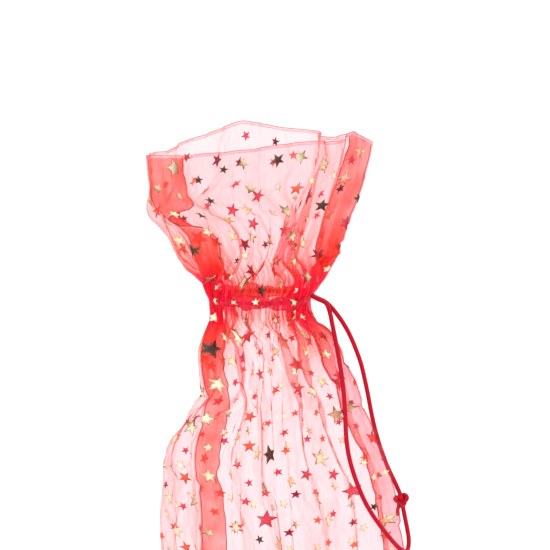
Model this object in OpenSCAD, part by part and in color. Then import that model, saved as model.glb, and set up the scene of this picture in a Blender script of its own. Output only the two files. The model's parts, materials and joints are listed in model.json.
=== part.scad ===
// Organza drawstring bag for a wine bottle, in the shape it takes with a bottle inside.
// +Z is up, the front faces -Y, and the origin is the middle of the base, where the bottle's axis meets it.

/* [Bag body] */
// Height of the front lip above the base
lip_z = 331; // [325:1:340]
// Depth of the body, front to back
body_depth = 85; // [84:1:90]
// Reach of the left side seam at the base
base_left = 60; // [58:1:62]
// Reach of the right side seam at the base
base_right = 60; // [58:1:62]
// Thickness of the cloth shells, many times thicker than the cloth
wall = 0.8; // [0.6:0.1:0.9]

/* [Gathered neck] */
// Height of the middle of the drawstring casing
neck_z = 252.5; // [251:0.5:254]
// Height of the drawstring casing
casing_h = 11; // [9:1:12]
// Radial depth of the drawstring casing
casing_depth = 3.6; // [3.5:0.1:4.5]

/* [Seams and hems] */
// Width of the side seam allowances
seam_w = 11; // [6:1:12]
// Width of the hem along the lips
hem_w = 4; // [3:0.5:6]
// Thickness of one folded allowance or hem
fold_t = 0.5; // [0.3:0.1:0.6]
// Diameter of the sewing thread
thread_d = 0.4; // [0.3:0.1:0.5]

/* [Drawstring] */
// Diameter of the satin cord
cord_d = 2.2; // [1.8:0.1:2.2]

/* [Foil stars] */
// Tip-to-tip size of the large stars
star_large = 9.4; // [8:0.2:10]
// Tip-to-tip size of the medium stars
star_medium = 6.2; // [5:0.2:7]
// Tip-to-tip size of the small stars
star_small = 4.4; // [3:0.2:5]

/* [Hidden] */

cloth_red = [0.93, 0.22, 0.24];
cloth_deep = [0.86, 0.10, 0.16];
cord_red = [0.78, 0.02, 0.10];
foil_gold = [0.85, 0.70, 0.38];

// The waist where the drawstring gathers the cloth: a straight round stretch.
neck_r = 21;
neck_low = neck_z - 11;
neck_high = neck_z + 10.5;

// Outline of the bag: reach of the side seams and half depth against height.
left_reach = [
    [0, base_left], [60, base_left - 7], [128, 49], [172, 46], [190, 38], [205, 31],
    [225, 29], [neck_low - 4, 24], [neck_low, neck_r], [neck_high, neck_r],
    [neck_high + 8, 34], [293, 53], [305, 55], [lip_z + 20, 56],
];
right_reach = [
    [0, base_right], [60, base_right + 6], [128, 70], [150, 66.5], [164, 61], [179, 55.5],
    [198, 50.5], [215, 42.5], [229, 37], [neck_low - 3, 29], [neck_low, neck_r],
    [neck_high, neck_r], [neck_high + 5, 29], [283, 40.5], [312, 50], [lip_z + 20, 54],
];
half_depth = [
    [0, body_depth / 2], [128, body_depth / 2], [162, 39], [191, 33], [225, 26],
    [neck_low, neck_r], [neck_high, neck_r], [275, 27], [300, 35], [lip_z + 20, 42],
];
// How pointed the cross-section is at each side seam: 1 is an ellipse, 2 is a lens.
left_point = [[0, 2], [128, 1.6], [200, 1.4], [neck_low, 1], [neck_high, 1], [lip_z, 1.4]];
right_point = [[0, 2], [150, 2], [225, 1.5], [neck_low, 1], [neck_high, 1], [lip_z, 1.4]];

left_lip_drop = 9;    // how far the lips dip at the left side seam
right_lip_drop = 1;   // and at the right one
seam_gap = 0.05;      // half the gap between the two panels along their seams
columns = 24;         // facets of a panel from seam to seam
wall_rows = [
    0, 2, 6, 20, 45, 75, 105, 128, 144, 158, 171, 183, 194, 205, 216, 227, 236,
    neck_low, neck_z - 5.5, neck_z, neck_z + 5.5, neck_high,
    neck_high + 5, neck_high + 11, neck_high + 20, neck_high + 31, neck_high + 43, neck_high + 56, lip_z,
];

// A table lookup, rounded over a short height so that the outline has no kinks.
function soft(table, z, reach = 5) =
    (lookup(z - reach, table) + 2 * lookup(z, table) + lookup(z + reach, table)) / 4;

// The base corner is rounded over the lowest few millimetres.
function base_round(z) = z < 6 ? 1 - 0.05 * pow(1 - z / 6, 2) : 1;

// A point of the front panel. t runs from the right seam, 0, to the left seam, 180,
// and depth is how far inside the outer face the point lies.
function front_point(t, z, depth = 0) =
    let(right = cos(t) >= 0,
        reach = soft(right ? right_reach : left_reach, z) * base_round(z) - 1.2 * depth,
        point = soft(right ? right_point : left_point, z),
        deep = soft(half_depth, z) * base_round(z) - depth,
        high = max(z, depth))
    [reach * cos(t), min(-seam_gap, -deep * pow(sin(t), point)), high + lip_shift(t, z)];

// Above the neck the rows stretch or shrink to meet the dipping lips.
function lip_shift(t, z) =
    z <= neck_high ? 0 :
    -(cos(t) > 0 ? right_lip_drop : left_lip_drop) * pow(cos(t), 2) * (z - neck_high) / (lip_z - neck_high);

// Outward unit normal of the front panel.
function front_normal(t, z) =
    let(along = front_point(t + 2, z) - front_point(t - 2, z),
        up = front_point(t, z + 1) - front_point(t, z - 1),
        n = cross(up, along))
    n / norm(n);

function flatten(lists) = [for (list = lists) for (item = list) item];

// The two triangles between four points of a grid that is `wide` points wide.
function grid_cell(i, j, wide, start, flip) =
    let(a = start + i * wide + j, b = a + 1, c = a + wide, d = c + 1)
    flip ? [[a, c, b], [b, c, d]] : [[a, b, c], [b, d, c]];

// A closed half shell, from the middle of the base up to the lip.
module half_shell() {
    wide = columns + 1;
    high = len(wall_rows);
    inner = wide * high;
    function grid(depth) = [
        for (z = wall_rows) for (j = [0:columns]) front_point(180 * j / columns, z, depth)
    ];
    function face_cells(start, flip) = flatten([
        for (i = [0:high - 2]) for (j = [0:columns - 1]) grid_cell(i, j, wide, start, flip)
    ]);
    top = (high - 1) * wide;
    lip = flatten([
        for (j = [0:columns - 1])
            let(a = top + j, b = inner + top + j)
            [[a, a + 1, b], [a + 1, b + 1, b]]
    ]);
    base_out = [for (j = [columns:-1:0]) j];
    base_in = [for (j = [0:columns]) inner + j];
    // The cut along the two seams and across the base, where this half meets the other one.
    cut_right = flatten([
        for (i = [0:high - 2])
            let(a = i * wide, c = a + wide, b = inner + a, d = inner + c)
            [[a, b, c], [b, d, c]]
    ]);
    cut_left = flatten([
        for (i = [0:high - 2])
            let(a = i * wide + columns, c = a + wide, b = inner + a, d = inner + c)
            [[a, c, b], [b, c, d]]
    ]);
    cut_base = [[0, columns, inner], [columns, inner + columns, inner]];
    polyhedron(
        points = concat(grid(0), grid(wall)),
        faces = concat(
            face_cells(0, false), face_cells(inner, true), lip, [base_out, base_in],
            cut_right, cut_left, cut_base),
        convexity = 6);
}

// A solid lofted through closed rings that all have the same number of points.
module loft(rings) {
    sides = len(rings[0]);
    last = (len(rings) - 1) * sides;
    polyhedron(
        points = flatten(rings),
        faces = concat(
            flatten([
                for (i = [0:len(rings) - 2]) for (j = [0:sides - 1])
                    let(a = i * sides + j, b = i * sides + (j + 1) % sides)
                    [[a, b, a + sides], [b, b + sides, a + sides]]
            ]),
            [[for (j = [sides - 1:-1:0]) j], [for (j = [0:sides - 1]) last + j]]),
        convexity = 8);
}

function unit(v) = v / norm(v);

// Rings of a round tube along a route. A ring's plane halves the bend at its point.
function tube_rings(route, r, sides = 8) = [
    for (i = [0:len(route) - 1])
        let(ahead = unit(route[min(i + 1, len(route) - 1)] - route[max(i - 1, 0)]),
            across = unit(cross(ahead, [0.3, 1, 0.2])),
            third = cross(ahead, across))
        [for (k = [0:sides - 1])
            route[i] + r * (across * cos(360 * k / sides) + third * sin(360 * k / sides))]
];

module tube(route, r, sides = 8) {
    loft(tube_rings(route, r, sides));
}

// ---- Panels ----

module front_panel() {
    color(cloth_red) half_shell();
}

module back_panel() {
    color(cloth_red) mirror([0, 1, 0]) half_shell();
}

// ---- Seam allowances and hems ----

seam_rows = [for (z = wall_rows) if (z > 3) z];
bottle_r = [[0, 41.5], [128, 41.5], [162, 34.5], [191, 25.5], [225, 16], [262, 16], [270, 0]];

// An allowance lies in the plane of the side seams, inside the tips of the panels.
// It narrows where the bottle needs the room.
function allowance_outer(side, z) =
    soft(side > 0 ? right_reach : left_reach, z) * base_round(z) - 1.2 * wall - 0.6;

function allowance_width(side, z) =
    max(2.4, min(seam_w, allowance_outer(side, z) - lookup(z, bottle_r) - 0.4));

function allowance_ring(side, z) =
    let(outer = allowance_outer(side, z),
        inner = outer - allowance_width(side, z),
        top = z == lip_z ? z - 1 : z,
        high = top + lip_shift(side > 0 ? 0 : 180, top),
        t = fold_t / 2,
        ring = [[outer, -t], [outer, t], [inner, t], [inner, -t]])
    [for (p = side > 0 ? ring : [ring[1], ring[0], ring[3], ring[2]]) [side * p.x, p.y, high]];

module side_allowance(side) {
    loft([for (z = seam_rows) allowance_ring(side, z)]);
}

module left_seam_allowance() {
    color(cloth_deep) side_allowance(-1);
}

module right_seam_allowance() {
    color(cloth_deep) side_allowance(1);
}

bottom_seam_w = 10;
bottom_seam_l = 92;

// The allowance of the bottom seam lies flat on the base, turned to the front.
module bottom_seam_allowance() {
    color(cloth_deep)
    translate([-bottom_seam_l / 2, -bottom_seam_w - 0.3, wall + 0.05])
    cube([bottom_seam_l, bottom_seam_w, fold_t]);
}

hem_gap = 0.1;
hem_end = 14;   // degrees short of each side seam, where the allowance takes over

module lip_hem() {
    steps = columns - 4;
    near = wall + hem_gap;
    far = near + fold_t;
    loft([
        for (i = [0:steps])
            let(t = hem_end + (180 - 2 * hem_end) * i / steps)
            [front_point(t, lip_z - 0.3, near), front_point(t, lip_z - hem_w, near),
             front_point(t, lip_z - hem_w, far), front_point(t, lip_z - 0.3, far)]
    ]);
}

module front_lip_hem() {
    color(cloth_deep) lip_hem();
}

module back_lip_hem() {
    color(cloth_deep) mirror([0, 1, 0]) lip_hem();
}

// ---- Drawstring casing ----

casing_wall = 0.6;
casing_gap = 0.1;                        // between the casing's folded edges and the panel
casing_in = neck_r + casing_gap;
casing_out = neck_r + casing_gap + casing_depth;
exit_angle = 18;                         // the casing stops this far from the right seam

// Cross-section of the casing: a strip bulging over the cord, turned in at both edges.
module casing_profile() {
    difference() {
        translate([casing_in, -casing_h / 2]) square([casing_depth, casing_h]);
        translate([casing_in - 1, -casing_h / 2 + casing_wall])
            square([casing_depth + 1 - casing_wall, casing_h - 2 * casing_wall]);
    }
}

// Half of the casing, on the +Y side, from the exit gap to the left seam.
module half_casing() {
    left_stop = 0.3;
    translate([0, 0, neck_z])
    rotate([0, 0, exit_angle])
    rotate_extrude(angle = 180 - exit_angle - left_stop, $fn = 96) casing_profile();
}

module front_casing() {
    color(cloth_deep) mirror([0, 1, 0]) half_casing();
}

module back_casing() {
    color(cloth_deep) half_casing();
}

// ---- Sewing threads ----

// One row along a side seam, on the front face of the allowance, 2 mm inside its outer edge.
module side_thread(side) {
    y = -fold_t / 2 - thread_d / 2 - 0.02;
    tube([
        for (z = seam_rows)
            let(top = z == lip_z ? z - 2 : z)
            [side * (allowance_outer(side, z) - 1.2), y, top + lip_shift(side > 0 ? 0 : 180, top)]
    ], thread_d / 2, 6);
}

module side_seam_threads() {
    color(cord_red) {
        side_thread(-1);
        side_thread(1);
    }
}

module bottom_seam_thread() {
    color(cord_red)
    translate([-bottom_seam_l / 2, -2, wall + 0.05 + fold_t + thread_d / 2 + 0.02])
    rotate([0, 90, 0]) cylinder(d = thread_d, h = bottom_seam_l, $fn = 24);
}

// One row on the inner face of each lip hem.
module lip_thread() {
    steps = columns - 4;
    inset = wall + hem_gap + fold_t + thread_d / 2 + 0.1;
    tube([
        for (i = [0:steps])
            front_point(hem_end + (180 - 2 * hem_end) * i / steps, lip_z - hem_w + 1, inset)
    ], thread_d / 2, 6);
}

module lip_hem_threads() {
    color(cord_red) {
        lip_thread();
        mirror([0, 1, 0]) lip_thread();
    }
}

// Two rows round the outside of the casing, above and below the cord.
module casing_threads() {
    row_inset = 1.4;
    ring_r = casing_out + thread_d / 2 + 0.05;
    module row(z) {
        translate([0, 0, z])
        rotate([0, 0, exit_angle])
        rotate_extrude(angle = 180 - exit_angle - 0.3, $fn = 96)
        translate([ring_r, 0]) circle(d = thread_d, $fn = 24);
    }
    color(cord_red)
    for (z = [neck_z - casing_h / 2 + row_inset, neck_z + casing_h / 2 - row_inset]) {
        row(z);
        mirror([0, 1, 0]) row(z);
    }
}

// ---- Foil stars ----

foil_t = 0.12;
foil_lift = 0.45;        // keeps a flat star's tips off the curved cloth
star_rows = 13;
star_columns = 8;
star_low = 16;
star_step = 24.4;

// A repeatable number from 0 to 1 for star (i, j).
function jitter(i, j, salt) =
    let(s = sin(i * 127.1 + j * 311.7 + salt * 74.7) * 4375.85) s - floor(s);

// 0 is a large star, 1 a medium one and 2 a small one.
function star_class(i, j) = (i + 3 * j) % 5 == 0 ? 0 : (i + 3 * j) % 5 == 2 ? 1 : 2;

// Stars stay off the casing and the hollow curves beside it.
function off_casing(z, size) = abs(z - neck_z) > casing_h / 2 + 2.2 * size;

module star(size) {
    outer = size / 2 / cos(18);
    inner = outer * 0.45;
    linear_extrude(foil_t)
    polygon([for (k = [0:9]) let(r = k % 2 == 0 ? outer : inner) r * [cos(36 * k), sin(36 * k)]]);
}

module star_field(class, size, salt) {
    for (i = [0:star_rows - 1]) for (j = [0:star_columns - 1]) {
        t = (j + 0.5 + 0.5 * (i % 2) + 0.3 * (jitter(i, j, salt) - 0.5)) * 172 / star_columns;
        z = star_low + star_step * (i + 0.3 * (jitter(j, i, salt + 1) - 0.5));
        if (star_class(i, j) == class && off_casing(z, size) && t > 12 && t < 168) {
            n = front_normal(t, z);
            turn = 72 * jitter(i, j, salt + 2);
            translate(front_point(t, z) + n * foil_lift)
            rotate([0, acos(n.z), atan2(n.y, n.x)])
            rotate([0, 0, turn]) star(size);
        }
    }
}

module front_stars_large() { color(foil_gold) star_field(0, star_large, 1); }
module front_stars_medium() { color(foil_gold) star_field(1, star_medium, 1); }
module front_stars_small() { color(foil_gold) star_field(2, star_small, 1); }
module back_stars_large() { color(foil_gold) mirror([0, 1, 0]) star_field(0, star_large, 5); }
module back_stars_medium() { color(foil_gold) mirror([0, 1, 0]) star_field(1, star_medium, 5); }
module back_stars_small() { color(foil_gold) mirror([0, 1, 0]) star_field(2, star_small, 5); }

// ---- Drawstring ----

cord_r = cord_d / 2;
ring_r = 22.7;
strand_y = 1.4;                        // each strand is this far off the middle where it leaves
exit_dir = [0.894, 0, -0.447];         // the way the strands leave the casing
exit_point = [22.9, 0, neck_z + 1.5];  // inner end of the strands, between the ends of the casing
exit_l = 8.2;                          // the straight stretch that slides out of the casing
swing_point = exit_point + exit_dir * (exit_l + cord_r + 0.2);

// Round the neck, from beside one exit strand to beside the other.
ring_route = [for (a = [8:8.6:352]) [ring_r * cos(a), -ring_r * sin(a), neck_z]];

// The free loop, from the front strand down the bag's right flank and back up its edge.
loop_route = concat([swing_point - [0, strand_y, 0]], [
    [33.2, -1.9, 245.6], [34.6, -3.6, 239], [36.2, -5.8, 231], [37.8, -8.4, 222.5],
    [39.1, -11.2, 214], [40, -14.4, 205.5], [40.5, -17.3, 196.5], [41, -19.4, 186.5],
    [42.4, -20.8, 177.5], [45, -21.6, 168.5], [48.5, -21.5, 159.5], [52.2, -20.2, 152],
    [56.4, -17.8, 145.2], [60.7, -14.6, 138.9], [65, -10.9, 133.1], [68.2, -8.1, 129.4],
    [70.4, -5.3, 127.9], [71.9, -2.2, 128.9], [72.3, 0, 132.6], [71.6, 1, 137.5],
    [70.5, 1.5, 143], [69.3, 1.8, 149], [68, 2.1, 154.8], [65.4, 1.9, 160.8],
    [62.2, 1.9, 167.6], [59.4, 1.9, 174.6], [57, 1.9, 182], [55, 1.9, 189.5],
    [53.4, 1.9, 197], [52, 1.9, 204.5], [50.4, 1.9, 212], [48.6, 1.9, 219.4],
    [46, 1.8, 226.8], [43, 1.7, 233.8], [39.4, 1.5, 240.2], [35.3, 1.4, 245.8],
], [swing_point + [0, strand_y, 0]]);
knot_at = 22;     // the knot is tied between this point of the loop's route and the next

module drawstring_ring() {
    color(cord_red) tube(ring_route, cord_r);
}

// The two short strands between the casing and the point where the loop swings.
module drawstring_exit() {
    tilt = acos(exit_dir.z);
    color(cord_red)
    for (side = [-1, 1])
        translate(exit_point + [0, side * strand_y, 0] + 0.05 * exit_dir)
        rotate([0, tilt, 0]) cylinder(r = cord_r, h = exit_l, $fn = 48);
}

// Both ends of the loop are rounded, so that they roll against the exit strands.
module drawstring_loop() {
    last = len(loop_route) - 1;
    rings = tube_rings(loop_route, cord_r);
    function shrunk(ring, centre, by, shift) = [for (p = ring) centre + (p - centre) * by + shift];
    first_way = unit(loop_route[1] - loop_route[0]);
    last_way = unit(loop_route[last - 1] - loop_route[last]);
    function cap(ring, centre, way) = [
        for (a = [75, 45]) shrunk(ring, centre, cos(a), -way * cord_r * sin(a))
    ];
    end_cap = cap(rings[last], loop_route[last], last_way);
    color(cord_red)
    loft(concat(cap(rings[0], loop_route[0], first_way), rings, [end_cap[1], end_cap[0]]));
}

// Two turns round the strand and a short tail.
module drawstring_knot() {
    a = loop_route[knot_at];
    way = unit(loop_route[knot_at + 1] - a);
    turn_r = 2 * cord_r + 0.15;
    turn_gap = cord_r + 0.02;
    tail_l = 7;
    color(cord_red)
    translate((a + loop_route[knot_at + 1]) / 2)
    rotate([0, acos(way.z), atan2(way.y, way.x)]) {
        for (z = [-turn_gap, turn_gap])
            translate([0, 0, z]) rotate_extrude($fn = 48)
                translate([turn_r, 0]) circle(r = cord_r - 0.01, $fn = 32);
        translate([-turn_r - cord_r - 0.4, 0, turn_gap])
            rotate([0, 12, 0]) cylinder(r = cord_r * 0.8, h = tail_l, $fn = 32);
    }
}

front_panel();
back_panel();
left_seam_allowance();
right_seam_allowance();
bottom_seam_allowance();
front_lip_hem();
back_lip_hem();
front_casing();
back_casing();
side_seam_threads();
bottom_seam_thread();
lip_hem_threads();
casing_threads();
front_stars_large();
front_stars_medium();
front_stars_small();
back_stars_large();
back_stars_medium();
back_stars_small();
drawstring_ring();
drawstring_exit();
drawstring_loop();
drawstring_knot();
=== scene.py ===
"""Looks of the organza bottle bag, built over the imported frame. Metres, +Z up, the front faces -Y."""
import json
import math

import bpy
import numpy as np
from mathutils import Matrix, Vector
from mathutils.bvhtree import BVHTree


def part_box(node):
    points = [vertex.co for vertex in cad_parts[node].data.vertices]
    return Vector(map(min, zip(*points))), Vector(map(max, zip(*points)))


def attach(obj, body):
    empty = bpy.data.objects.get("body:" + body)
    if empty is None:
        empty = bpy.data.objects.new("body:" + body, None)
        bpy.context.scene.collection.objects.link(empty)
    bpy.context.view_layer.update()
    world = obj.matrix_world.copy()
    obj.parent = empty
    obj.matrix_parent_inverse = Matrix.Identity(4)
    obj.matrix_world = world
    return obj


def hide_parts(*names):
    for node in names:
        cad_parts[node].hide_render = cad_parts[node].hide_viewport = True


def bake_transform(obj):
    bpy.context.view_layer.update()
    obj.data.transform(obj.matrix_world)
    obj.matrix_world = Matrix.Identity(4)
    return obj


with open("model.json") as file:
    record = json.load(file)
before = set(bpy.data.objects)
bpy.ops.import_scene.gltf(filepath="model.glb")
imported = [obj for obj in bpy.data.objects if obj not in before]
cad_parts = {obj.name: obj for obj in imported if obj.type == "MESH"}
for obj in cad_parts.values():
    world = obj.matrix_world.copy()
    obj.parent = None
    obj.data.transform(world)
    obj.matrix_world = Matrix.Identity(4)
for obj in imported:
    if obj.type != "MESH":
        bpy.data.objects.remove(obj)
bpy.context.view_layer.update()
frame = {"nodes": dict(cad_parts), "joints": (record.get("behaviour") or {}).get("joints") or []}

MM = 0.001

# ---- Driving sizes, in metres ----

GIRTH = 0.300          # round the cloth tube, twice the flat width
CUT_HEIGHT = 0.370     # bottom seam to lip
CASING_V = 0.292       # the cord's height along the cloth
COLUMNS = 200          # cloth grid round the tube, an even number
ROWS = 132             # and up it
CORD_R = 0.0011        # drawstring
STRAND_Y = 0.0014      # each strand's distance from the bag's middle plane at the exit
RING_R = 0.0227        # the ring of cord in the casing, to the cord's middle
KNOT_SIZE = 0.00112    # scale of the overhand knot's turns
SEAM_W = 0.0115        # width of a side seam allowance
HEM = 0.0014           # width of the lip's turned edge
CASING_HALF = 0.0032   # half the casing's height
CASING_R = 0.0244      # its outer radius at the middle
STITCH_PITCH = 0.0021  # from one needle hole of the casing to the next
OVERLOCK_R = 0.00022   # thread radii
SEAM_THREAD_R = 0.00016
CASING_THREAD_R = 0.00017
LIP_THREAD_R = 0.00008
FOIL_LIFT = 0.00022    # how far a star's face stands off the cloth
FOIL_UNDER = 0.00012   # and its underside

casing_low, casing_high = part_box("front_casing")
NECK_Z = (casing_low.z + casing_high.z) / 2


# ---- Camera ----

def add_camera(azimuth=0.0, elevation=7.5, distance=1.18, lens=160, aim=(0.0068, 0.0, 0.2632)):
    data = bpy.data.cameras.new("camera")
    data.lens = lens
    camera = bpy.data.objects.new("camera", data)
    bpy.context.scene.collection.objects.link(camera)
    az, el = math.radians(azimuth), math.radians(elevation)
    aim = Vector(aim)
    offset = Vector((math.sin(az) * math.cos(el), -math.cos(az) * math.cos(el), math.sin(el)))
    camera.location = aim + distance * offset
    camera.rotation_euler = (-offset).to_track_quat("-Z", "Y").to_euler()
    bpy.context.scene.camera = camera


add_camera()


# ---- Mesh helpers ----

def new_object(name, vertices, faces, smooth=True):
    mesh = bpy.data.meshes.new(name)
    mesh.from_pydata([tuple(p) for p in vertices], [], [tuple(int(i) for i in f) for f in faces])
    mesh.update()
    if smooth:
        mesh.polygons.foreach_set("use_smooth", [True] * len(mesh.polygons))
    piece = bpy.data.objects.new(name, mesh)
    bpy.context.scene.collection.objects.link(piece)
    return piece


def unit(v):
    return v / np.maximum(np.linalg.norm(v, axis=-1, keepdims=True), 1e-12)


def smooth_route(points, spacing):
    """A Catmull-Rom curve through the points, resampled at an even spacing."""
    p = np.array(points, float)
    p = np.vstack([2 * p[0] - p[1], p, 2 * p[-1] - p[-2]])
    fine = []
    for i in range(1, len(p) - 2):
        for t in np.linspace(0, 1, 12, endpoint=False):
            a, b, c, d = p[i - 1:i + 3]
            fine.append(0.5 * (2 * b + (c - a) * t + (2 * a - 5 * b + 4 * c - d) * t * t
                               + (3 * b - a - 3 * c + d) * t ** 3))
    fine.append(p[-2])
    fine = np.array(fine)
    along = np.concatenate([[0], np.cumsum(np.linalg.norm(np.diff(fine, axis=0), axis=1))])
    at = np.linspace(0, along[-1], max(3, int(round(along[-1] / spacing)) + 1))
    return np.stack([np.interp(at, along, fine[:, k]) for k in range(3)], axis=1)


def tube_mesh(name, route, radius, sides=16):
    """A round tube with UVs: U runs round it and V along it, both in metres."""
    route = np.array(route, float)
    ahead = unit(np.gradient(route, axis=0))
    across = np.cross(ahead[0], [0.2, 1, 0.3])
    points, frames = [], []
    for k, tangent in enumerate(ahead):
        across = unit(across - tangent * np.dot(across, tangent))
        frames.append((across.copy(), np.cross(tangent, across)))
    for k, (a, b) in enumerate(frames):
        r = radius(k / (len(route) - 1)) if callable(radius) else radius
        for j in range(sides):
            angle = 2 * math.pi * j / sides
            points.append(route[k] + r * (a * math.cos(angle) + b * math.sin(angle)))
    faces = []
    for k in range(len(route) - 1):
        for j in range(sides):
            n = (j + 1) % sides
            faces.append((k * sides + j, k * sides + n, (k + 1) * sides + n, (k + 1) * sides + j))
    faces.append(tuple(reversed(range(sides))))
    faces.append(tuple((len(route) - 1) * sides + j for j in range(sides)))
    piece = new_object(name, points, faces)
    uv = piece.data.uv_layers.new(name="along")
    step = np.concatenate([[0], np.cumsum(np.linalg.norm(np.diff(route, axis=0), axis=1))])
    for poly in piece.data.polygons:
        for corner, loop in zip(poly.vertices, poly.loop_indices):
            k, j = divmod(corner, sides)
            wrap = 1.0 if len(poly.vertices) == 4 and j == 0 and max(
                c % sides for c in poly.vertices) == sides - 1 else 0.0
            uv.data[loop].uv = (j / sides + wrap, step[k])
    return piece


# ---- Drawstring ----

LOOP_ROUTE = [
    (33.2, -1.9, 245.6), (34.6, -3.6, 239), (36.2, -5.8, 231), (37.8, -8.4, 222.5),
    (39.1, -11.2, 214), (40, -14.4, 205.5), (40.5, -17.3, 196.5), (41, -19.4, 186.5),
    (42.4, -20.8, 177.5), (45, -21.6, 168.5), (48.5, -21.5, 159.5), (52.2, -20.2, 152),
    (56.4, -17.8, 145.2), (60.7, -14.6, 138.9), (65, -10.9, 133.1), (68.2, -8.1, 129.4),
    (70.4, -5.3, 127.9), (71.9, -2.2, 128.9), (72.3, 0, 132.6), (71.6, 1, 137.5),
    (70.5, 1.5, 143), (69.3, 1.8, 149), (68, 2.1, 154.8), (65.4, 1.9, 160.8),
    (62.2, 1.9, 167.6), (59.4, 1.9, 174.6), (57, 1.9, 182), (55, 1.9, 189.5),
    (53.4, 1.9, 197), (52, 1.9, 204.5), (50.4, 1.9, 212), (48.6, 1.9, 219.4),
    (46, 1.8, 226.8), (43, 1.7, 233.8), (39.4, 1.5, 240.2), (35.3, 1.4, 245.8),
]
KNOT_BETWEEN = (21, 22)    # indices in LOOP_ROUTE
swing = [j for j in frame["joints"] if j["name"] == "drawstring_swing"][0]
SWING = np.array(swing["pos_m"])
loop_route = [SWING + (0, -STRAND_Y, 0), *[np.array(p) * MM for p in LOOP_ROUTE], SWING + (0, STRAND_Y, 0)]
pull = [j for j in frame["joints"] if j["name"] == "drawstring_pull"][0]
PULL_WAY = unit(np.array(pull["axis"], float))
strand_ends = [SWING - PULL_WAY * back for back in (0.0092, 0.0045)]
CORD_PATH = smooth_route([*[p + (0, -STRAND_Y, 0) for p in strand_ends], *loop_route,
                          *[p + (0, STRAND_Y, 0) for p in reversed(strand_ends)]], 0.0009)


# ---- Cloth: the shape it starts from ----

def panel_tree():
    """The CAD panels as one tree, which gives the outline that the cloth follows."""
    points, faces = [], []
    for name in ("front_panel", "back_panel"):
        mesh = frame["nodes"][name].data
        start = len(points)
        points += [v.co.copy() for v in mesh.vertices]
        faces += [[start + i for i in p.vertices] for p in mesh.polygons]
    return BVHTree.FromPolygons(points, faces)


def guide_profiles(tree, angles, heights):
    """Radius of the CAD outline at each angle and height, with the lips carried straight on."""
    radius = np.zeros((len(angles), len(heights)))
    for i, angle in enumerate(angles):
        side = math.copysign(max(abs(math.sin(angle)), 0.012), math.sin(angle))  # clear of the seams' gap
        way = Vector((math.cos(angle), side, 0)).normalized()
        last = 0.0
        for j, z in enumerate(heights):
            start = Vector((0, 0, z)) + way * 0.2
            hit = tree.ray_cast(start, -way, 0.2)[0]
            if hit is not None:
                last = hit.xy.length
            elif j > 4:
                last = 2 * radius[i, j - 1] - radius[i, j - 2]
            radius[i, j] = last
    return radius


def table(z, rows):
    """Linear lookup in (height in mm, value in mm) rows, in metres, softened."""
    x = np.array([r[0] for r in rows]) * MM
    y = np.array([r[1] for r in rows]) * MM
    return sum(w * np.interp(z + d * MM, x, y) for w, d in ((0.25, -6), (0.5, 0), (0.25, 6)))


# How far the left side seam lies round towards the front, against height, because the bag has turned
# on the bottle.
SEAM_SHIFT = [(0, 8), (60, 24), (105, 38), (128, 42), (160, 37), (172, 32), (190, 22), (215, 7),
              (240, 2), (252, 2), (258, 6), (264, 14), (271, 19), (283, 21), (291, 22), (298, 20),
              (303, 8), (308, 5), (331, 5)]
# How far the cloth stands out from the CAD outline, against height: at the right tip, the left tip,
# and the middle of the front and back.
FILL_RIGHT = [(0, 0), (100, 1), (139, 1), (156, 2.3), (175, 4), (200, 0.4), (212, 2.7), (222, 0.5),
              (228, 1.5), (237, 4.7), (247, 2.5), (252, -2), (257, 8), (262, 10.6), (268, 6.6), (274, 4),
              (279, 2), (285, 0), (293, 1.3), (300, 1.2), (331, 3)]
FILL_LEFT = [(0, 0), (128, 2), (150, 2.2), (160, 1.6), (168, 1.8), (176, 5), (186, 4.2), (192, 2),
             (199, 0.4), (207, -1), (222, 1.2), (228, 1.8), (237, 3), (247, 3), (252, 0.5), (257, 7),
             (262, 9.8), (266, 9), (271, 4.5), (279, 0.5), (288, -2.5), (294, 3.9), (300, -1.8),
             (306, -0.4), (331, 1.2)]
FILL_MID = [(150, 0), (200, 0.5), (236, 3), (247, 1.5), (252, -0.5), (257, 3), (266, 4), (280, 2), (300, 0)]
# How much higher the lips stand than an even cut would, against the distance to the right.
LIP_FRONT = [(-56, 0.3), (-48, -1.2), (-33, -4), (-5, -2.6), (18, 0.6), (36, 2), (41, 2.8), (44, 6.4),
             (54, 3.4)]
LIP_BACK = [(-56, 0.3), (-50, -1.2), (-42, -1.4), (-33, 0.6), (-20, 3), (-9, 5.6), (1, 4.8), (12, 2.6),
            (24, 1.6), (38, 2.2), (44, 6.4), (54, 3.4)]


def smoothstep(x):
    x = np.clip(x, 0, 1)
    return x * x * (3 - 2 * x)


def stand_out(angles, heights):
    """The fill by angle and height, blended round the outline."""
    right = np.maximum(np.cos(angles), 0)[:, None] ** 2
    left = np.maximum(-np.cos(angles), 0)[:, None] ** 2
    mid = np.sin(angles)[:, None] ** 2
    return (right * table(heights, FILL_RIGHT) + left * table(heights, FILL_LEFT)
            + mid * table(heights, FILL_MID))


def raise_lips(curves, v_rows):
    """Lifts the header by the lips' own line, most at the lips."""
    lip = curves[-1]
    x = lip[:, 0] / MM
    front = np.interp(x, *zip(*LIP_FRONT))
    back = np.interp(x, *zip(*LIP_BACK))
    rise = np.where(lip[:, 1] < 0, front, back) * MM
    share = np.clip((v_rows - CASING_V) / (CUT_HEIGHT - CASING_V), 0, 1) ** 2
    curves[:, :, 2] += share[:, None] * rise[None, :]


def press_right_fin(curves):
    """The stiff right seam stands out flat above the cord, with both panels pressed together."""
    for curve in curves:
        z = curve[:, 2].mean()
        strength = smoothstep((z - 0.258) / 0.018)
        inward = curve[:, 0].max() - curve[:, 0]
        open_share = 0.10 + 0.90 * smoothstep((inward - 0.009) / 0.017)
        curve[:, 1] *= 1 - strength * (1 - open_share)


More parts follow.
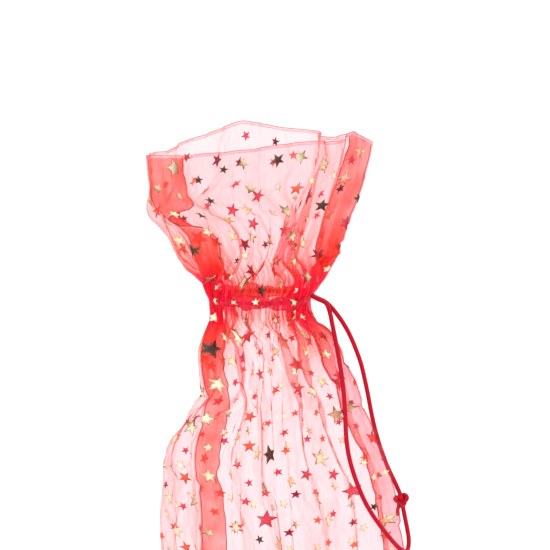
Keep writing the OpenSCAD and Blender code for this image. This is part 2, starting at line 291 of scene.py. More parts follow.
def guide_rows(tree, v_rows):
    """For each height v along the cloth, the closed curve of the outline as points by angle."""
    angles = np.linspace(0, 2 * math.pi, 385)[:-1]
    heights = np.arange(0.0015, 0.352, 0.002)
    radius = guide_profiles(tree, angles, heights) + stand_out(angles, heights)
    curves = np.zeros((len(v_rows), len(angles), 3))
    for i, angle in enumerate(angles):
        x, y = radius[i] * math.cos(angle), radius[i] * math.sin(angle)
        wall = np.stack([x, y, heights], axis=1)
        step = np.concatenate([[0], np.cumsum(np.linalg.norm(np.diff(wall, axis=0), axis=1))])
        step -= np.interp(NECK_Z, heights, step)
        base = abs(y[0])
        full = -step[0] + base
        for j, v in enumerate(v_rows):
            s = v - CASING_V
            if s < 0:
                s *= full / CASING_V
            if s >= step[0]:
                curves[j, i] = [np.interp(s, step, wall[:, k]) for k in range(3)]
            else:
                left = 1 - (step[0] - s) / max(base, 1e-6)
                curves[j, i] = (x[0], y[0] * left, heights[0] - 0.0008 * (1 - left))
    press_right_fin(curves)
    raise_lips(curves, v_rows)
    return curves


def pleat_phase(u, count, seed):
    """A phase that grows by 2 pi a pleat, over pleats of uneven width."""
    r = np.random.default_rng(seed)
    widths = 1 + 0.45 * (r.random(count) - 0.5) * 2
    edges = np.concatenate([[0], np.cumsum(widths)]) / widths.sum()
    return 2 * math.pi * np.interp(u, edges, np.arange(count + 1))


SLACK = 1.06           # least cloth for each length of the outline, so that no row is drawn tight


def half_row(path, width, columns, wave):
    """Lays a panel's row of cloth, `width` long, on the outline's path, as a meander of the right length."""
    step = np.concatenate([[0], np.cumsum(np.linalg.norm(np.diff(path, axis=0), axis=1))])
    length = step[-1]
    width = max(width, length * SLACK)
    share = length / width
    low, high = 0.0, 2.6
    for _ in range(30):
        mid = (low + high) / 2
        if np.mean(np.cos(mid * wave)) > share:
            low = mid
        else:
            high = mid
    turn = low * wave
    ds = width / columns
    along = np.concatenate([[0], np.cumsum(np.cos(turn))]) * ds
    out = np.concatenate([[0], np.cumsum(np.sin(turn))]) * ds
    out -= np.linspace(out[0], out[-1], columns + 1)
    ends = np.linspace(0, 1, columns + 1)
    out -= 0.85 * np.max(out) * smoothstep(ends / 0.05) * smoothstep((1 - ends) / 0.05)
    along *= length / along[-1]
    ahead = unit(np.gradient(path, axis=0))
    p = np.stack([np.interp(along, step, path[:, k]) for k in range(3)], axis=1)
    t = unit(np.stack([np.interp(along, step, ahead[:, k]) for k in range(3)], axis=1))
    return p, t, out


def cut_curve(curve, start, end):
    """The stretch of a closed polyline between two arc positions."""
    closed = np.vstack([curve, curve[:1]])
    step = np.concatenate([[0], np.cumsum(np.linalg.norm(np.diff(closed, axis=0), axis=1))])
    total = step[-1]
    at = np.linspace(start, end, 240)
    return np.stack([np.interp(np.mod(at, total), step, closed[:, k]) for k in range(3)], axis=1)


def pleat_waves(v, u, seed, flat_share):
    """How the cloth turns in and out along a row: many small gathers at the cord, long folds far from it.

    It stays flat for flat_share of the row's length beside each seam.
    """
    away = abs(v - CASING_V)
    gathers = np.cos(pleat_phase(u, 19, seed))
    folds = np.cos(pleat_phase(u, 9, seed + 1))
    drapes = np.cos(pleat_phase(u, 5, seed + 2))
    small = math.exp(-(away / 0.016) ** 2)
    middle = math.exp(-(away / 0.042) ** 2)
    wave = small * gathers + (1 - small) * (middle * folds + (1 - middle) * drapes)
    flat = smoothstep(u / flat_share) * smoothstep((1 - u) / flat_share)
    loose = math.exp(-(away / 0.014) ** 2)
    return wave * (loose + (1 - loose) * flat)


def cloth_start():
    """Grid of points: rows run from the bottom seam to the lip, columns from the right seam by the back."""
    v_rows = np.linspace(0, CUT_HEIGHT, ROWS + 1)
    curves = guide_rows(panel_tree(), v_rows)
    half = COLUMNS // 2
    u = (np.arange(half) + 0.5) / half
    grid = np.zeros((ROWS + 1, COLUMNS, 3))
    for j, v in enumerate(v_rows):
        curve = curves[j]
        closed = np.vstack([curve, curve[:1]])
        step = np.concatenate([[0], np.cumsum(np.linalg.norm(np.diff(closed, axis=0), axis=1))])
        mid = step[len(curve) // 2]
        z = curve[:, 2].mean()
        shift = table(np.array(z), SEAM_SHIFT) * (1 if z > 0.004 else z / 0.004)
        for side, (a, b) in enumerate(((0, mid + shift), (mid + shift, step[-1]))):
            path = cut_curve(curve, a, b)
            p, t, out = half_row(path, GIRTH / 2, half, pleat_waves(v, u, 3 + 7 * side, (0.03, 0.10)[side]))
            normal = unit(np.cross(t, [0, 0, 1.0]))
            if z < 0.01:
                out = out * z / 0.01
            grid[j, side * half:(side + 1) * half] = (p + normal * out[:, None])[:-1]
    return grid, v_rows


def grid_faces(rows, columns, wrap=True):
    span = columns if wrap else columns - 1
    return [(j * columns + i, j * columns + (i + 1) % columns,
             (j + 1) * columns + (i + 1) % columns, (j + 1) * columns + i)
            for j in range(rows - 1) for i in range(span)]


def cubic(before, here, after, later, t):
    return 0.5 * (2 * here + (after - before) * t + (2 * before - 5 * here + 4 * after - later) * t * t
                  + (3 * here - before - 3 * after + later) * t ** 3)


def refine_round(a, times):
    """More points round a closed first axis, through a smooth cubic."""
    around = [np.roll(a, shift, 0) for shift in (1, 0, -1, -2)]
    steps = [cubic(*around, k / times) for k in range(times)]
    return np.stack(steps, axis=1).reshape(-1, *a.shape[1:])


def refine_along(a, times):
    """The same for an open first axis."""
    b = np.concatenate([2 * a[:1] - a[1:2], a, 2 * a[-1:] - a[-2:-1]])
    steps = [cubic(b[:-3], b[1:-2], b[2:-1], b[3:], k / times) for k in range(times)]
    return np.concatenate([np.stack(steps, axis=1).reshape(-1, *a.shape[1:]), a[-1:]])


# ---- Cloth: its settling ----

RELAX_SCALE = 10       # the simulation runs ten times larger, where Blender's cloth is steadier
RELAX_FRAMES = 24
GROWTH = 0.03          # how much larger than the start shape the cloth is cut, so that it creases
MOST_MOVE = 0.0035     # no point moves further than this


def hold_weights(v_rows, columns):
    """How firmly each point keeps its place: fully at the cord and the base, and well at the seams."""
    v = v_rows[:, None]
    u = (np.arange(columns) / columns)[None, :]
    to_seam = np.minimum(np.minimum(u, 1 - u), np.abs(u - 0.5)) * GIRTH
    weights = 0.02 + 0.30 * np.exp(-(to_seam / 0.010) ** 2)
    weights = np.maximum(weights, np.exp(-((v - CASING_V) / 0.006) ** 4))
    weights = np.maximum(weights, np.exp(-(v / 0.012) ** 2))
    weights = np.maximum(weights, 0.12 * np.exp(-((CUT_HEIGHT - v) / 0.006) ** 2))
    return np.clip(weights, 0, 1)


def relax(grid, v_rows):
    """Lets the cloth settle with Blender's cloth simulation, and returns the settled grid."""
    rows, columns = grid.shape[:2]
    piece = new_object("relaxing_cloth", grid.reshape(-1, 3) * RELAX_SCALE, grid_faces(rows, columns))
    hold = piece.vertex_groups.new(name="hold")
    for i, weight in enumerate(hold_weights(v_rows, columns).ravel()):
        hold.add([i], float(weight), "REPLACE")
    modifier = piece.modifiers.new("cloth", "CLOTH")
    cloth_settings = modifier.settings
    cloth_settings.quality = 6
    cloth_settings.mass = 0.08
    cloth_settings.tension_stiffness = 12
    cloth_settings.compression_stiffness = 12
    cloth_settings.shear_stiffness = 3
    cloth_settings.bending_stiffness = 0.02
    cloth_settings.air_damping = 2
    cloth_settings.vertex_group_mass = "hold"
    cloth_settings.pin_stiffness = 1
    cloth_settings.shrink_min = -GROWTH
    cloth_settings.effector_weights.gravity = 0.02
    modifier.collision_settings.use_collision = False
    modifier.point_cache.frame_start = 1
    modifier.point_cache.frame_end = RELAX_FRAMES
    for step in range(1, RELAX_FRAMES + 1):
        bpy.context.scene.frame_set(step)
    settled = piece.evaluated_get(bpy.context.evaluated_depsgraph_get()).to_mesh()
    points = np.zeros(rows * columns * 3)
    settled.vertices.foreach_get("co", points)
    bpy.context.scene.frame_set(1)
    bpy.data.objects.remove(piece)
    move = points.reshape(grid.shape) / RELAX_SCALE - grid
    size = np.linalg.norm(move, axis=-1, keepdims=True)
    settled_grid = grid + move * np.minimum(1, MOST_MOVE / np.maximum(size, 1e-9))
    settled_grid[:, :, 2] = np.maximum(settled_grid[:, :, 2], grid[:, :, 2].min())  # it rests on the floor
    return settled_grid


CORD_ROOM = 0.0015     # from the cord's middle to the cloth that it lies on
KNOT_ROOM = 0.0031     # the same at the knot
LEAVES_AT = 0.240      # above this height the strands are still coming out through the seam
UNDER_FRONT = 0.0003   # how much further in the front panel goes, so that the two don't touch
BURIED = 0.004         # cloth that stands further out than this beside the cord isn't pressed in


def make_room(points):
    """Presses the cloth in under the free cord and its knot, so that they lie on it."""
    knot = sum(np.array(LOOP_ROUTE[i]) * MM for i in KNOT_BETWEEN) / 2
    free = CORD_PATH[CORD_PATH[:, 2] < LEAVES_AT]
    half = points.shape[1] // 2
    flank = (points[:, :, 0] > 0.02) & (points[:, :, 2] > 0.115) & (points[:, :, 2] < 0.245)
    for front_strand, inward in ((True, (-0.7, 0.7, 0)), (False, (0, -1, 0))):
        strand = free[(free[:, 1] < 0) == front_strand]
        inward = unit(np.array(inward, float))
        for j in range(len(points)):
            at = np.nonzero(flank[j])[0]
            if not len(at):
                continue
            away = points[j, at][:, None, :] - strand[None, :, :]
            closest = np.argmin(np.linalg.norm(away, axis=2), axis=1)
            away = away[np.arange(len(at)), closest]
            to_knot = np.linalg.norm(strand[closest] - knot, axis=1)
            room = CORD_ROOM + (KNOT_ROOM - CORD_ROOM) * smoothstep((0.0098 - to_knot) / 0.0040)
            depth = away @ inward
            aside = np.linalg.norm(away - depth[:, None] * inward, axis=1)
            needed = room * (1 - (aside / (2 * room)) ** 2)
            if not front_strand:
                needed = needed + UNDER_FRONT * (at >= half)
            push = np.where(depth > -BURIED, np.maximum(needed - depth, 0), 0)
            points[j, at] += push[:, None] * inward


class Cloth:
    """The finished cloth as a fine grid, with its points and normals by place (u, v) in metres."""

    def __init__(self, grid, finer=2):
        self.points = refine_along(refine_round(grid.transpose(1, 0, 2), finer).transpose(1, 0, 2), finer)
        make_room(self.points)
        self.rows, self.columns = self.points.shape[:2]
        across = np.roll(self.points, -1, axis=1) - np.roll(self.points, 1, axis=1)
        up = np.gradient(self.points, axis=0)
        self.normals = unit(np.cross(across, up))

    def at(self, u, v, lift=0.0):
        """Points lifted off the cloth's outer side at arrays of places round, u, and up, v."""
        u, v, lift = np.broadcast_arrays(np.asarray(u, float), np.asarray(v, float), np.asarray(lift, float))
        x = np.mod(u / GIRTH, 1.0) * self.columns
        y = np.clip(v / CUT_HEIGHT, 0, 1) * (self.rows - 1)
        i, j = np.floor(x).astype(int) % self.columns, np.minimum(np.floor(y).astype(int), self.rows - 2)
        fx, fy = (x - np.floor(x))[..., None], (y - j)[..., None]
        n = (i + 1) % self.columns

        def mix(a):
            return ((a[j, i] * (1 - fx) + a[j, n] * fx) * (1 - fy)
                    + (a[j + 1, i] * (1 - fx) + a[j + 1, n] * fx) * fy)
        return mix(self.points) + unit(mix(self.normals)) * lift[..., None]


def strip(name, us, vs, lift=0.0):
    """An open sheet that follows the cloth, over a grid of places, with UVs in metres."""
    u, v = np.meshgrid(us, vs)
    points = cloth.at(u, v, lift).reshape(-1, 3)
    piece = new_object(name, points, grid_faces(len(vs), len(us), wrap=False))
    set_uv(piece, np.stack([u, v], axis=-1))
    set_gather(piece, gathering(points, v.ravel()))
    return piece


def gathering(points, v):
    """How crumpled the cloth is, from 0 to 1: most at the cord, and further out at the two sides."""
    away = np.abs(v - CASING_V)
    side = np.clip((np.abs(points[:, 0]) - 0.008) / 0.014, 0, 1)
    return np.clip(0.6 * np.exp(-(away / 0.013) ** 2) + 0.95 * side * np.exp(-(away / 0.030) ** 2), 0, 1)


def set_gather(piece, values):
    piece.data.attributes.new("gather", "FLOAT", "POINT").data.foreach_set("value", values)


def set_uv(piece, places):
    """Gives each vertex its place on the flat cloth, in metres."""
    uv = piece.data.uv_layers.new(name="cloth")
    corner = np.zeros(len(piece.data.loops), int)
    piece.data.loops.foreach_get("vertex_index", corner)
    uv.data.foreach_set("uv", places.reshape(-1, 2)[corner].ravel())


def join(name, pieces):
    """One object from several, which keep their materials."""
    for o in bpy.context.selected_objects:
        o.select_set(False)
    for o in pieces:
        o.select_set(True)
    bpy.context.view_layer.objects.active = pieces[0]
    if len(pieces) > 1:
        bpy.ops.object.join()
    pieces[0].name = name
    pieces[0].data.name = name
    return pieces[0]


def paint(piece, *materials):
    for m in materials:
        piece.data.materials.append(m)
    return piece


# ---- Materials ----

def node_kit(name):
    """A new material with a short way to add and link its nodes."""
    material = bpy.data.materials.new(name)
    material.use_nodes = True
    nodes, links = material.node_tree.nodes, material.node_tree.links
    nodes.clear()

    def add(kind, **values):
        node = nodes.new(kind)
        for key, value in values.items():
            if key in node.inputs:
                socket = node.inputs[key]
                if isinstance(value, bpy.types.NodeSocket):
                    links.new(value, socket)
                else:
                    socket.default_value = value
            else:
                setattr(node, key, value)
        return node

    def maths(operation, a, b=0.0):
        node = nodes.new("ShaderNodeMath")
        node.operation = operation
        for socket, value in zip(node.inputs, (a, b)):
            if isinstance(value, bpy.types.NodeSocket):
                links.new(value, socket)
            else:
                socket.default_value = value
        return node.outputs[0]
    return material, add, maths, links


def weave(add, maths, pitch):
    """Two sets of threads, from 0 in the gaps to 1 on a thread, at a pitch in metres on the cloth's UVs."""
    place = add("ShaderNodeUVMap", uv_map="cloth").outputs[0]
    split = add("ShaderNodeSeparateXYZ", Vector=place)
    threads = []
    for axis in (0, 1):
        turn = maths("MULTIPLY", split.outputs[axis], 2 * math.pi / pitch)
        threads.append(maths("MULTIPLY_ADD", maths("SINE", turn), 0.5))
        threads[-1].node.inputs[2].default_value = 0.5
    return place, maths("MAXIMUM", *threads)


def blend_colour(add, links, factor, low, high):
    """A colour between two, each a plain colour or a socket, by a factor socket."""
    mix = add("ShaderNodeMix", data_type="RGBA")
    links.new(factor, mix.inputs[0])
    for socket, value in ((mix.inputs[6], low), (mix.inputs[7], high)):
        if isinstance(value, bpy.types.NodeSocket):
            links.new(value, socket)
        else:
            socket.default_value = (*value, 1)
    return mix.outputs[2]


def noise(add, place, scale, detail=2.0):
    return add("ShaderNodeTexNoise", Vector=place, Scale=scale, Detail=detail).outputs[0]


def organza(name, cover, fibre, clear, gathered=0.9, mottle=0.8):
    """Sheer cloth: threads that catch the light over gaps that let it through.

    cover is the threads' share, fibre their colour and clear the tint of the gaps. Close to the cord the
    cloth is crumpled, which closes it up by `gathered`. mottle is how uneven the cover is.
    """
    material, add, maths, links = node_kit(name)
    place, threads = weave(add, maths, 0.00045)
    slub = noise(add, add("ShaderNodeMapping", Vector=place, Scale=(900.0, 60.0, 1.0)).outputs[0], 1.0)
    patch = noise(add, place, 70.0, 3.0)
    creases = add("ShaderNodeMapping", Vector=place, Scale=(420.0, 36.0, 1.0))
    crease = noise(add, creases.outputs[0], 1.0, 3.0)
    pinch = add("ShaderNodeAttribute", attribute_name="gather").outputs["Fac"]
    share = maths("MULTIPLY_ADD", maths("SUBTRACT", threads, 0.6), cover * 0.35)
    share.node.inputs[2].default_value = cover * 0.9
    share = maths("ADD", share, maths("MULTIPLY", maths("SUBTRACT", slub, 0.5), cover * 0.5))
    share = maths("ADD", share, maths("MULTIPLY", maths("SUBTRACT", patch, 0.5), cover * mottle))
    edge = add("ShaderNodeLayerWeight", Blend=0.22).outputs["Facing"]
    share = maths("ADD", share, maths("MULTIPLY", edge, 0.6))
    streak = maths("MULTIPLY", maths("SUBTRACT", crease, 0.32), 3.0)
    streak.node.use_clamp = True
    crumple = maths("MULTIPLY", pinch, streak)
    share = maths("ADD", share, maths("MULTIPLY", crumple, gathered))
    share.node.use_clamp = True
    gaps = add("ShaderNodeBsdfTransparent", Color=(*clear, 1))
    dense = maths("MULTIPLY", share, 2.8)
    dense.node.use_clamp = True
    thread = blend_colour(add, links, dense, (0.98, 0.12, 0.26), fibre)
    colour = blend_colour(add, links, maths("POWER", pinch, 2.5), thread, CRIMSON)
    wrinkle = maths("ADD", maths("MULTIPLY", threads, 0.12), maths("MULTIPLY", crease, 1.0))
    bump = add("ShaderNodeBump", Strength=0.35, Distance=0.0004, Height=wrinkle)
    front = add("ShaderNodeBsdfPrincipled", Roughness=0.42, Normal=bump.outputs[0])
    links.new(colour, front.inputs["Base Color"])
    front.inputs["Sheen Weight"].default_value = 0.25
    front.inputs["Sheen Roughness"].default_value = 0.35
    front.inputs["Sheen Tint"].default_value = (1.0, 0.55, 0.5, 1)
    front.inputs["Specular IOR Level"].default_value = 0.4
    through = add("ShaderNodeBsdfTranslucent")
    links.new(colour, through.inputs["Color"])
    solid = add("ShaderNodeMixShader", Fac=0.5)
    links.new(front.outputs[0], solid.inputs[1])
    links.new(through.outputs[0], solid.inputs[2])
    sheer = add("ShaderNodeMixShader", Fac=share)
    links.new(gaps.outputs[0], sheer.inputs[1])
    links.new(solid.outputs[0], sheer.inputs[2])
    add("ShaderNodeOutputMaterial", Surface=sheer.outputs[0])
    return material


def satin(name, colour, groove=0.0018):
    """Twisted satin cord: yarns that wind round it, by UVs that run round and along it."""
    material, add, maths, links = node_kit(name)
    split = add("ShaderNodeSeparateXYZ", Vector=add("ShaderNodeUVMap", uv_map="along").outputs[0])
    turn = maths("ADD", maths("MULTIPLY", split.outputs[0], 2 * math.pi),
                 maths("MULTIPLY", split.outputs[1], 2 * math.pi / groove))
    yarn = maths("ABSOLUTE", maths("SINE", turn))
    fibre = noise(add, add("ShaderNodeTexCoord").outputs["Object"], 4000.0, 1.0)
    height = maths("ADD", maths("POWER", yarn, 0.5), maths("MULTIPLY", fibre, 0.2))
    bump = add("ShaderNodeBump", Strength=0.35, Distance=0.00008, Height=height)
    # Painted shade: the colour is darker in the grooves between the yarns, where the bump is low.
    shade = blend_colour(add, links, maths("POWER", yarn, 0.5),
                         (colour[0] * 0.6, colour[1] * 0.5, colour[2] * 0.6), colour)
    shader = add("ShaderNodeBsdfPrincipled", Roughness=0.45, Normal=bump.outputs[0])
    links.new(shade, shader.inputs["Base Color"])
    shader.inputs["Specular IOR Level"].default_value = 0.14
    add("ShaderNodeOutputMaterial", Surface=shader.outputs[0])
    return material


def thread_material(name, colour):
    material, add, _, links = node_kit(name)
    twist = noise(add, add("ShaderNodeTexCoord").outputs["Object"], 3000.0, 1.0)
    # Painted shade: the thread's colour is darker where the twist's bump is low.
    shade = blend_colour(add, links, twist, tuple(c * 0.6 for c in colour), colour)
    bump = add("ShaderNodeBump", Strength=0.3, Distance=0.00005, Height=twist)
    shader = add("ShaderNodeBsdfPrincipled", Roughness=0.5, Normal=bump.outputs[0])
    links.new(shade, shader.inputs["Base Color"])
    add("ShaderNodeOutputMaterial", Surface=shader.outputs[0])
    return material


def foil(name, stops, rim, roughness, metallic):
    """Hot-stamped foil. Each star has its own tone, from `stops` of (place, dark side, bright side), with a
    painted reflection that runs across it from the dark side to the bright side, as a curved scrap of mirror
    would show; the near-black tones are stars painted as dark reflections. Its rim is darkened with painted
    shade."""
    material, add, maths, links = node_kit(name)
    place = add("ShaderNodeTexCoord").outputs["Object"]
    crinkle = noise(add, place, 1500.0, 3.0)
    tone_and_painted_reflection = add("ShaderNodeAttribute", attribute_name="tone_and_painted_reflection").outputs["Fac"]
    painted_reflection_sweep = add("ShaderNodeAttribute", attribute_name="painted_reflection_sweep").outputs["Fac"]
    edge = add("ShaderNodeAttribute", attribute_name="edge").outputs["Fac"]
    painted_reflection_ramps = []
    for side in (1, 2):
        ramp = add("ShaderNodeValToRGB")
        ramp.color_ramp.interpolation = "CONSTANT"
        for k, stop in enumerate(stops):
            element = ramp.color_ramp.elements[k] if k < 2 else ramp.color_ramp.elements.new(stop[0])
            element.position = stop[0]
            element.color = (*stop[side], 1)
        links.new(tone_and_painted_reflection, ramp.inputs[0])
        painted_reflection_ramps.append(ramp.outputs[0])
    # Painted reflection: each star's colour runs from its dark side to its bright side, broken up a little
    # by the crinkle.
    across = maths("ADD", painted_reflection_sweep, maths("MULTIPLY", maths("SUBTRACT", crinkle, 0.5), 0.5))
    across.node.use_clamp = True
    shade = blend_colour(add, links, across, *painted_reflection_ramps)
    # Painted shade: the colour darkens towards `rim` at the star's edge.
    colour_with_painted_rim_shade = blend_colour(add, links, maths("MULTIPLY", maths("POWER", edge, 3.0), 0.75), shade, rim)
    rough = maths("ADD", maths("MULTIPLY", crinkle, 0.2), roughness - 0.1)
    bump = add("ShaderNodeBump", Strength=0.3, Distance=0.00006, Height=crinkle)
    shader = add("ShaderNodeBsdfPrincipled", Roughness=rough, Normal=bump.outputs[0])
    shader.inputs["Metallic"].default_value = metallic
    links.new(colour_with_painted_rim_shade, shader.inputs["Base Color"])
    add("ShaderNodeOutputMaterial", Surface=shader.outputs[0])
    return material


CRIMSON = (1.0, 0.008, 0.070)
CHAMPAGNE = (1.0, 0.90, 0.66)
# Foil tones as (place, dark side, bright side). Each dark and bright side is a painted reflection across the
# star, and the near-black stop paints a star dark as if it mirrored dark surroundings.
GOLD_TONES_AND_PAINTED_REFLECTIONS = [
    (0.0, (0.90, 0.68, 0.38), CHAMPAGNE),
    (0.55, (0.30, 0.16, 0.09), (1.0, 0.84, 0.58)),
    (0.80, (0.045, 0.012, 0.02), (0.13, 0.07, 0.06)),
    (0.93, (0.75, 0.25, 0.06), (0.95, 0.55, 0.20)),
]
# The foil's underside, seen through the cloth, in the same form: painted reflections across each star, and a
# near-black stop painted as a dark reflection.
ROSE_TONES_AND_PAINTED_REFLECTIONS = [
    (0.0, (0.62, 0.07, 0.13), (0.85, 0.20, 0.28)),
    (0.50, (0.90, 0.22, 0.08), (0.98, 0.42, 0.16)),
    (0.75, (0.06, 0.01, 0.02), (0.20, 0.04, 0.06)),
]
ORGANZA = organza("organza", 0.13, (0.99, 0.11, 0.055), (1.0, 0.95, 0.962))
ALLOWANCE = organza("organza_allowance", 0.37, (0.99, 0.11, 0.045), (1.0, 0.92, 0.90),
                    gathered=0.65, mottle=1.7)
CASING = organza("organza_casing", 0.45, CRIMSON, (1.0, 0.68, 0.78), gathered=0.5, mottle=1.2)
SATIN = satin("satin_cord", (0.55, 0.001, 0.022))
THREAD = thread_material("sewing_thread", (0.42, 0.006, 0.02))
LIP_EDGE = thread_material("rolled_edge", (0.80, 0.16, 0.20))
# The third value of each foil is the colour of its painted rim shade.
GOLD = foil("foil_gold", GOLD_TONES_AND_PAINTED_REFLECTIONS, (0.35, 0.20, 0.07), 0.28, 0.9)
ROSE = foil("foil_underside", ROSE_TONES_AND_PAINTED_REFLECTIONS, (0.45, 0.03, 0.06), 0.45, 0.6)


# ---- Cloth pieces ----

grid, v_rows = cloth_start()
grid = relax(grid, v_rows)
cloth = Cloth(grid)
HALF = GIRTH / 2
fine_v = np.linspace(0, CUT_HEIGHT, cloth.rows)


def add_panels():
    for name, a, b in (("back_panel", 0, HALF), ("front_panel", HALF, GIRTH)):
        us = np.linspace(a, b, cloth.columns // 2 + 1)
        piece = paint(strip(name + "_cloth", us, fine_v), ORGANZA)
        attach(piece, "bag")
        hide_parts(name)


def edge_thread(name, u, v, lift, radius=OVERLOCK_R):
    """A thread that follows the cloth through the places (u, v)."""
    return tube_mesh(name, cloth.at(u, v, lift), radius, sides=6)


TWIST_V = 0.3375       # where the left allowance is folded over on itself, under the spread corner


def allowance_reach(name, w, v):
    """How far from its seam a point at width w lies. The left allowance folds over and spreads above it."""
    if name == "right":
        return w + 0 * v
    folded = np.exp(-((v - TWIST_V) / 0.005) ** 2)
    over = np.where(w > SEAM_W / 2, SEAM_W - w, w)
    flare = 1 + 1.10 * smoothstep((v - TWIST_V - 0.002) / 0.006)
    return (w * (1 - folded) + over * folded) * flare


def allowance_layer(name, layer, vs):
    w, v = np.meshgrid(np.linspace(0, SEAM_W, 11), vs)
    reach = allowance_reach(name, w, v)
    u = HALF + reach if name == "left" else -reach
    under = -0.0003 * (layer + 1) - 0.0004 * (w / SEAM_W) * (name == "left")
    points = cloth.at(u, v, under).reshape(-1, 3)
    piece = new_object(f"{name}_layer{layer}", points, grid_faces(len(vs), w.shape[1], wrap=False))
    set_uv(piece, np.stack([w, v], axis=-1))
    set_gather(piece, gathering(points, v.ravel()))
    return paint(piece, ALLOWANCE, ORGANZA)


def add_seams():
    vs = fine_v[(fine_v > 0.004) & (fine_v < CUT_HEIGHT - 0.0005)]
    rows = []
    for name, seam, inward in (("left", HALF, 1), ("right", 0, -1)):
        piece = join(f"{name}_seam_cloth", [allowance_layer(name, k, vs) for k in range(2)])
        if name == "right":
            for face in piece.data.polygons:
                face.material_index = int(face.center.z < NECK_Z - 0.012)
        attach(piece, "bag")
        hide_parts(f"{name}_seam_allowance")
        rows.append(edge_thread("stitch", seam + inward * 0.0010, vs, -0.0002, SEAM_THREAD_R))
        edge = allowance_reach(name, np.full(len(vs), SEAM_W * 0.999), vs)
        rows.append(edge_thread("overlock", seam + inward * edge, vs, -0.0006))
    piece = paint(join("side_seam_stitching", rows), THREAD)
    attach(piece, "bag")
    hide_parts("side_seam_threads")


def add_bottom_seam():
    us = np.linspace(HALF + 0.01, GIRTH - 0.01, 100)
    piece = paint(strip("bottom_seam_cloth", us, np.linspace(0.0005, 0.010, 5), -0.0004), ALLOWANCE)
    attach(piece, "bag")
    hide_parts("bottom_seam_allowance")
    thread = paint(edge_thread("bottom_seam_stitching", us, 0.002, -0.0007), THREAD)
    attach(thread, "bag")
    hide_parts("bottom_seam_thread")


def add_hems():
    rows = []
    for name, a, b in (("back", 0, HALF), ("front", HALF, GIRTH)):
        us = np.linspace(a, b, cloth.columns // 2 + 1)
        turned = strip(name + "_turned", us, np.linspace(CUT_HEIGHT - HEM, CUT_HEIGHT, 4), -0.0003)
        edge = edge_thread(name + "_edge", us, CUT_HEIGHT, -0.00015, SEAM_THREAD_R)
        piece = join(name + "_lip_hem_cloth", [paint(turned, ORGANZA), paint(edge, LIP_EDGE)])
        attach(piece, "bag")
        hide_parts(name + "_lip_hem")
        rows.append(edge_thread("lip_stitch", us, CUT_HEIGHT - HEM + 0.0003, 0.0001, LIP_THREAD_R))
    piece = paint(join("lip_hem_stitching", rows), LIP_EDGE)
    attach(piece, "bag")
    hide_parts("lip_hem_threads")


CASING_GAP = math.radians(9)    # each side of the cord's way out


def casing_points(angles, across, lift=0.0):
    """The tunnel of gathered cloth round the cord. across runs from -1, its lower edge, to 1."""
    angles, across, lift = np.broadcast_arrays(angles, across, lift)
    gathers = np.sin(pleat_phase(angles / (2 * math.pi), 58, 31)) + 0.5 * np.sin(angles * 23 + 1)
    ripple = 0.00036 * gathers * (0.3 + 0.7 * np.abs(across))
    round_cord = 0.0226 + 0.0018 * np.exp(-(across / 0.52) ** 2)
    r = round_cord + ripple + lift
    sway = 0.0007 * np.sin(3 * angles + 1) + 0.0003 * np.sin(11 * angles)
    height = 1 + 0.22 * np.sin(7 * angles + 2) + 0.12 * np.sin(19 * angles)
    z = NECK_Z + across * CASING_HALF * height + sway * (0.4 + 0.6 * np.abs(across))
    return np.stack([r * np.cos(angles), r * np.sin(angles), z], axis=-1)


def casing_angles():
    """Where the casing's pieces run: they meet at the left seam and stay clear of the cord's way out."""
    left = math.pi + np.interp(NECK_Z / MM, *zip(*SEAM_SHIFT)) * MM / 0.0225
    return ("back", CASING_GAP, left), ("front", left, 2 * math.pi - CASING_GAP)


def add_casing():
    across = np.linspace(-1, 1, 11)
    rows = []
    for name, a, b in casing_angles():
        angles, up = np.meshgrid(np.linspace(a, b, 260), across)
        piece = new_object(name + "_casing_cloth", casing_points(angles, up).reshape(-1, 3),
                           grid_faces(len(across), angles.shape[1], wrap=False))
        set_uv(piece, np.stack([angles * GIRTH / (2 * math.pi), CASING_V + up * CASING_HALF], axis=-1))
        set_gather(piece, np.ones(angles.size))
        paint(piece, CASING)
        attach(piece, "bag")
        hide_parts(name + "_casing")
        for edge in (-0.86, 0.86):
            rows.append(stitch_row(name, a, b, edge))
    piece = paint(join("casing_stitching", rows), THREAD)
    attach(piece, "bag")
    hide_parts("casing_threads")


def stitch_row(name, a, b, across, share=0.6):
    """A row of lock stitches: short lengths of thread that dip into the cloth between needle holes."""
    parts = []
    turn = STITCH_PITCH / 0.024
    for k in range(int((b - a) / turn)):
        angles = a + turn * (k + np.linspace(0, share, 5))
        lifts = -0.0001 + 0.0003 * np.sin(np.linspace(0, math.pi, 5)) ** 0.5
        parts.append(tube_mesh("stitch", casing_points(angles, across, lifts), CASING_THREAD_R, 5))
    return join(name + "_stitch_row", parts)


# ---- Foil stars ----

STAR_SIZES = {"large": 0.0094, "medium": 0.0068, "small": 0.0045}


def scatter(tries=9000):
    """Loose but even places for the stars, each with a size and a turn, so that none overlap."""
    r = np.random.default_rng(21)
    placed = []
    kinds = ["large"] * 2 + ["medium"] * 3 + ["small"] * 5
    for _ in range(tries):
        u, v = r.random() * GIRTH, 0.006 + r.random() * (CUT_HEIGHT - 0.012)
        if abs(v - CASING_V) < 0.006:
            continue
        kind = kinds[int(r.integers(len(kinds)))]
        size = STAR_SIZES[kind]
        near = False
        for pu, pv, pk, _ in placed:
            du = abs(pu - u)
            du = min(du, GIRTH - du)
            gap = 0.5 * (size + STAR_SIZES[pk]) + 0.0047
            if du * du + (pv - v) ** 2 < gap * gap:
                near = True
                break
        if not near:
            placed.append((u, v, kind, r.random() * 2 * math.pi))
    return placed


